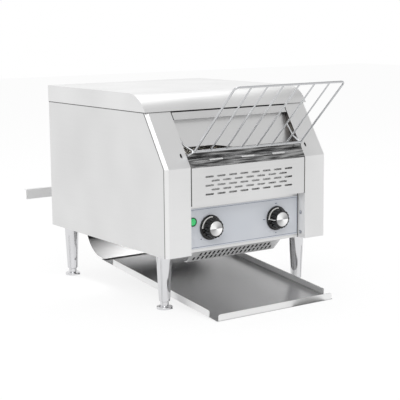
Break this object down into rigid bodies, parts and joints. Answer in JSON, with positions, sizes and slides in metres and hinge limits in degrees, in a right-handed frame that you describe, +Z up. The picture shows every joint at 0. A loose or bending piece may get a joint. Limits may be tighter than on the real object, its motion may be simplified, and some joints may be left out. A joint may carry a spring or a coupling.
{
  "type": "conveyor toaster",
  "caption": "Countertop conveyor toaster: a steel housing on four legs with a wire feed rack, a wire belt, two control knobs, a rear discharge ramp and a front catch tray.",
  "frame": {"origin": "centre of the plan's bounding box, on the surface that the feet stand on", "axes": "+Z up, the front with its knobs faces -Y, +X to the right as seen from the front; Y is the longest extent"},
  "size_m": [0.368, 0.6708, 0.4069],
  "materials": {
    "steel": "brushed stainless sheet",
    "polished_steel": "bright annealed stainless sheet",
    "inner_steel": "mill finish, heat darkened",
    "chrome": "bright plated",
    "belt_steel": "drawn wire",
    "black_plastic": "moulded, satin",
    "switch_plastic": "moulded",
    "cap_aluminium": "spun",
    "label": "printed overlay, satin",
    "lens": "clear green, glossy",
    "quartz": "frosted tube",
    "ceramic": "glazed ceramic",
    "bronze": "sintered bronze",
    "cast_metal": "painted grey",
    "zinc": "zinc plated"
  },
  "bodies": {
    "housing": {"roof_cover": "steel", "side_panel_left": "steel", "side_panel_right": "steel", "rear_panel": "steel", "base_plate": "steel", "cheek_left": "inner_steel", "cheek_right": "inner_steel", "header_strip": "steel", "feed_lip": "polished_steel", "vent_panel": "steel", "control_panel": "steel", "control_label": "label", "control_cover": "steel", "lower_guard": "steel", "feed_shield": "polished_steel", "upper_reflector": "polished_steel", "lower_reflector": "polished_steel", "upper_heaters": "quartz", "lower_heaters": "quartz", "heater_caps": "ceramic", "conveyor_belt": "belt_steel", "shaft_bushes": "bronze", "gearmotor": "cast_metal", "drive_chain": "inner_steel", "fan_frame": "black_plastic", "heat_switch": "switch_plastic", "speed_regulator": "black_plastic", "lamp_body": "black_plastic", "lamp_lens": "lens", "discharge_ramp": "polished_steel", "tray_rest": "steel", "leg_front_left": "chrome", "leg_front_right": "chrome", "leg_rear_left": "chrome", "leg_rear_right": "chrome", "leg_nuts": "zinc", "rear_spacer": "steel", "cable_gland": "black_plastic", "terminal_block": "switch_plastic", "case_screws": "zinc"},
    "feed_rack": {"feed_rack": "chrome"},
    "catch_tray": {"catch_tray": "polished_steel"},
    "heat_knob": {"heat_knob": "black_plastic", "heat_knob_cap": "cap_aluminium", "heat_knob_shaft": "zinc"},
    "speed_knob": {"speed_knob": "black_plastic", "speed_knob_cap": "cap_aluminium", "speed_knob_shaft": "zinc"},
    "drive_shaft": {"drive_shaft": "zinc", "drive_wheels": "inner_steel", "chain_sprocket": "inner_steel"},
    "idler_shaft": {"idler_shaft": "zinc", "idler_wheels": "inner_steel"},
    "motor_sprocket": {"motor_sprocket": "inner_steel"},
    "fan_rotor": {"fan_rotor": "black_plastic"},
    "foot_front_left": {"foot_front_left": "chrome"},
    "foot_front_right": {"foot_front_right": "chrome"},
    "foot_rear_left": {"foot_rear_left": "chrome"},
    "foot_rear_right": {"foot_rear_right": "chrome"}
  },
  "joints": [
    {"name": "rack_hinge", "type": "hinge", "parent": "housing", "child": "feed_rack", "pos_m": [0, -0.1656, 0.318], "axis": [-1, 0, 0], "range_deg": [0, 60]},
    {"name": "tray_slide", "type": "slide", "parent": "housing", "child": "catch_tray", "axis": [0, -1, 0], "range_m": [0, 0.09]},
    {"name": "heat_knob_turn", "type": "hinge", "parent": "housing", "child": "heat_knob", "pos_m": [0.076, -0.21556, 0.1455], "axis": [0, 1, 0], "range_deg": [0, 270]},
    {"name": "speed_knob_turn", "type": "hinge", "parent": "housing", "child": "speed_knob", "pos_m": [-0.076, -0.21556, 0.1455], "axis": [0, 1, 0], "range_deg": [-225, 45]},
    {"name": "drive_turn", "type": "hinge", "parent": "housing", "child": "drive_shaft", "pos_m": [0, 0.10194, 0.236], "axis": [1, 0, 0], "continuous": true},
    {"name": "idler_turn", "type": "hinge", "parent": "housing", "child": "idler_shaft", "pos_m": [0, -0.16306, 0.236], "axis": [1, 0, 0], "continuous": true},
    {"name": "motor_turn", "type": "hinge", "parent": "housing", "child": "motor_sprocket", "pos_m": [0.165, 0.04694, 0.16], "axis": [1, 0, 0], "continuous": true},
    {"name": "fan_turn", "type": "hinge", "parent": "housing", "child": "fan_rotor", "pos_m": [0, -0.13056, 0.1452], "axis": [0, 1, 0], "continuous": true},
    {"name": "foot_front_left_turn", "type": "hinge", "parent": "housing", "child": "foot_front_left", "pos_m": [-0.154, -0.16206, 0.02], "axis": [0, 0, 1], "continuous": true},
    {"name": "foot_front_right_turn", "type": "hinge", "parent": "housing", "child": "foot_front_right", "pos_m": [0.154, -0.16206, 0.02], "axis": [0, 0, 1], "continuous": true},
    {"name": "foot_rear_left_turn", "type": "hinge", "parent": "housing", "child": "foot_rear_left", "pos_m": [-0.154, 0.18144, 0.02], "axis": [0, 0, 1], "continuous": true},
    {"name": "foot_rear_right_turn", "type": "hinge", "parent": "housing", "child": "foot_rear_right", "pos_m": [0.154, 0.18144, 0.02], "axis": [0, 0, 1], "continuous": true}
  ],
  "couplings": [
    {"joint": "idler_turn", "follows": "drive_turn", "ratio": 1},
    {"joint": "motor_turn", "follows": "drive_turn", "ratio": 1}
  ]
}
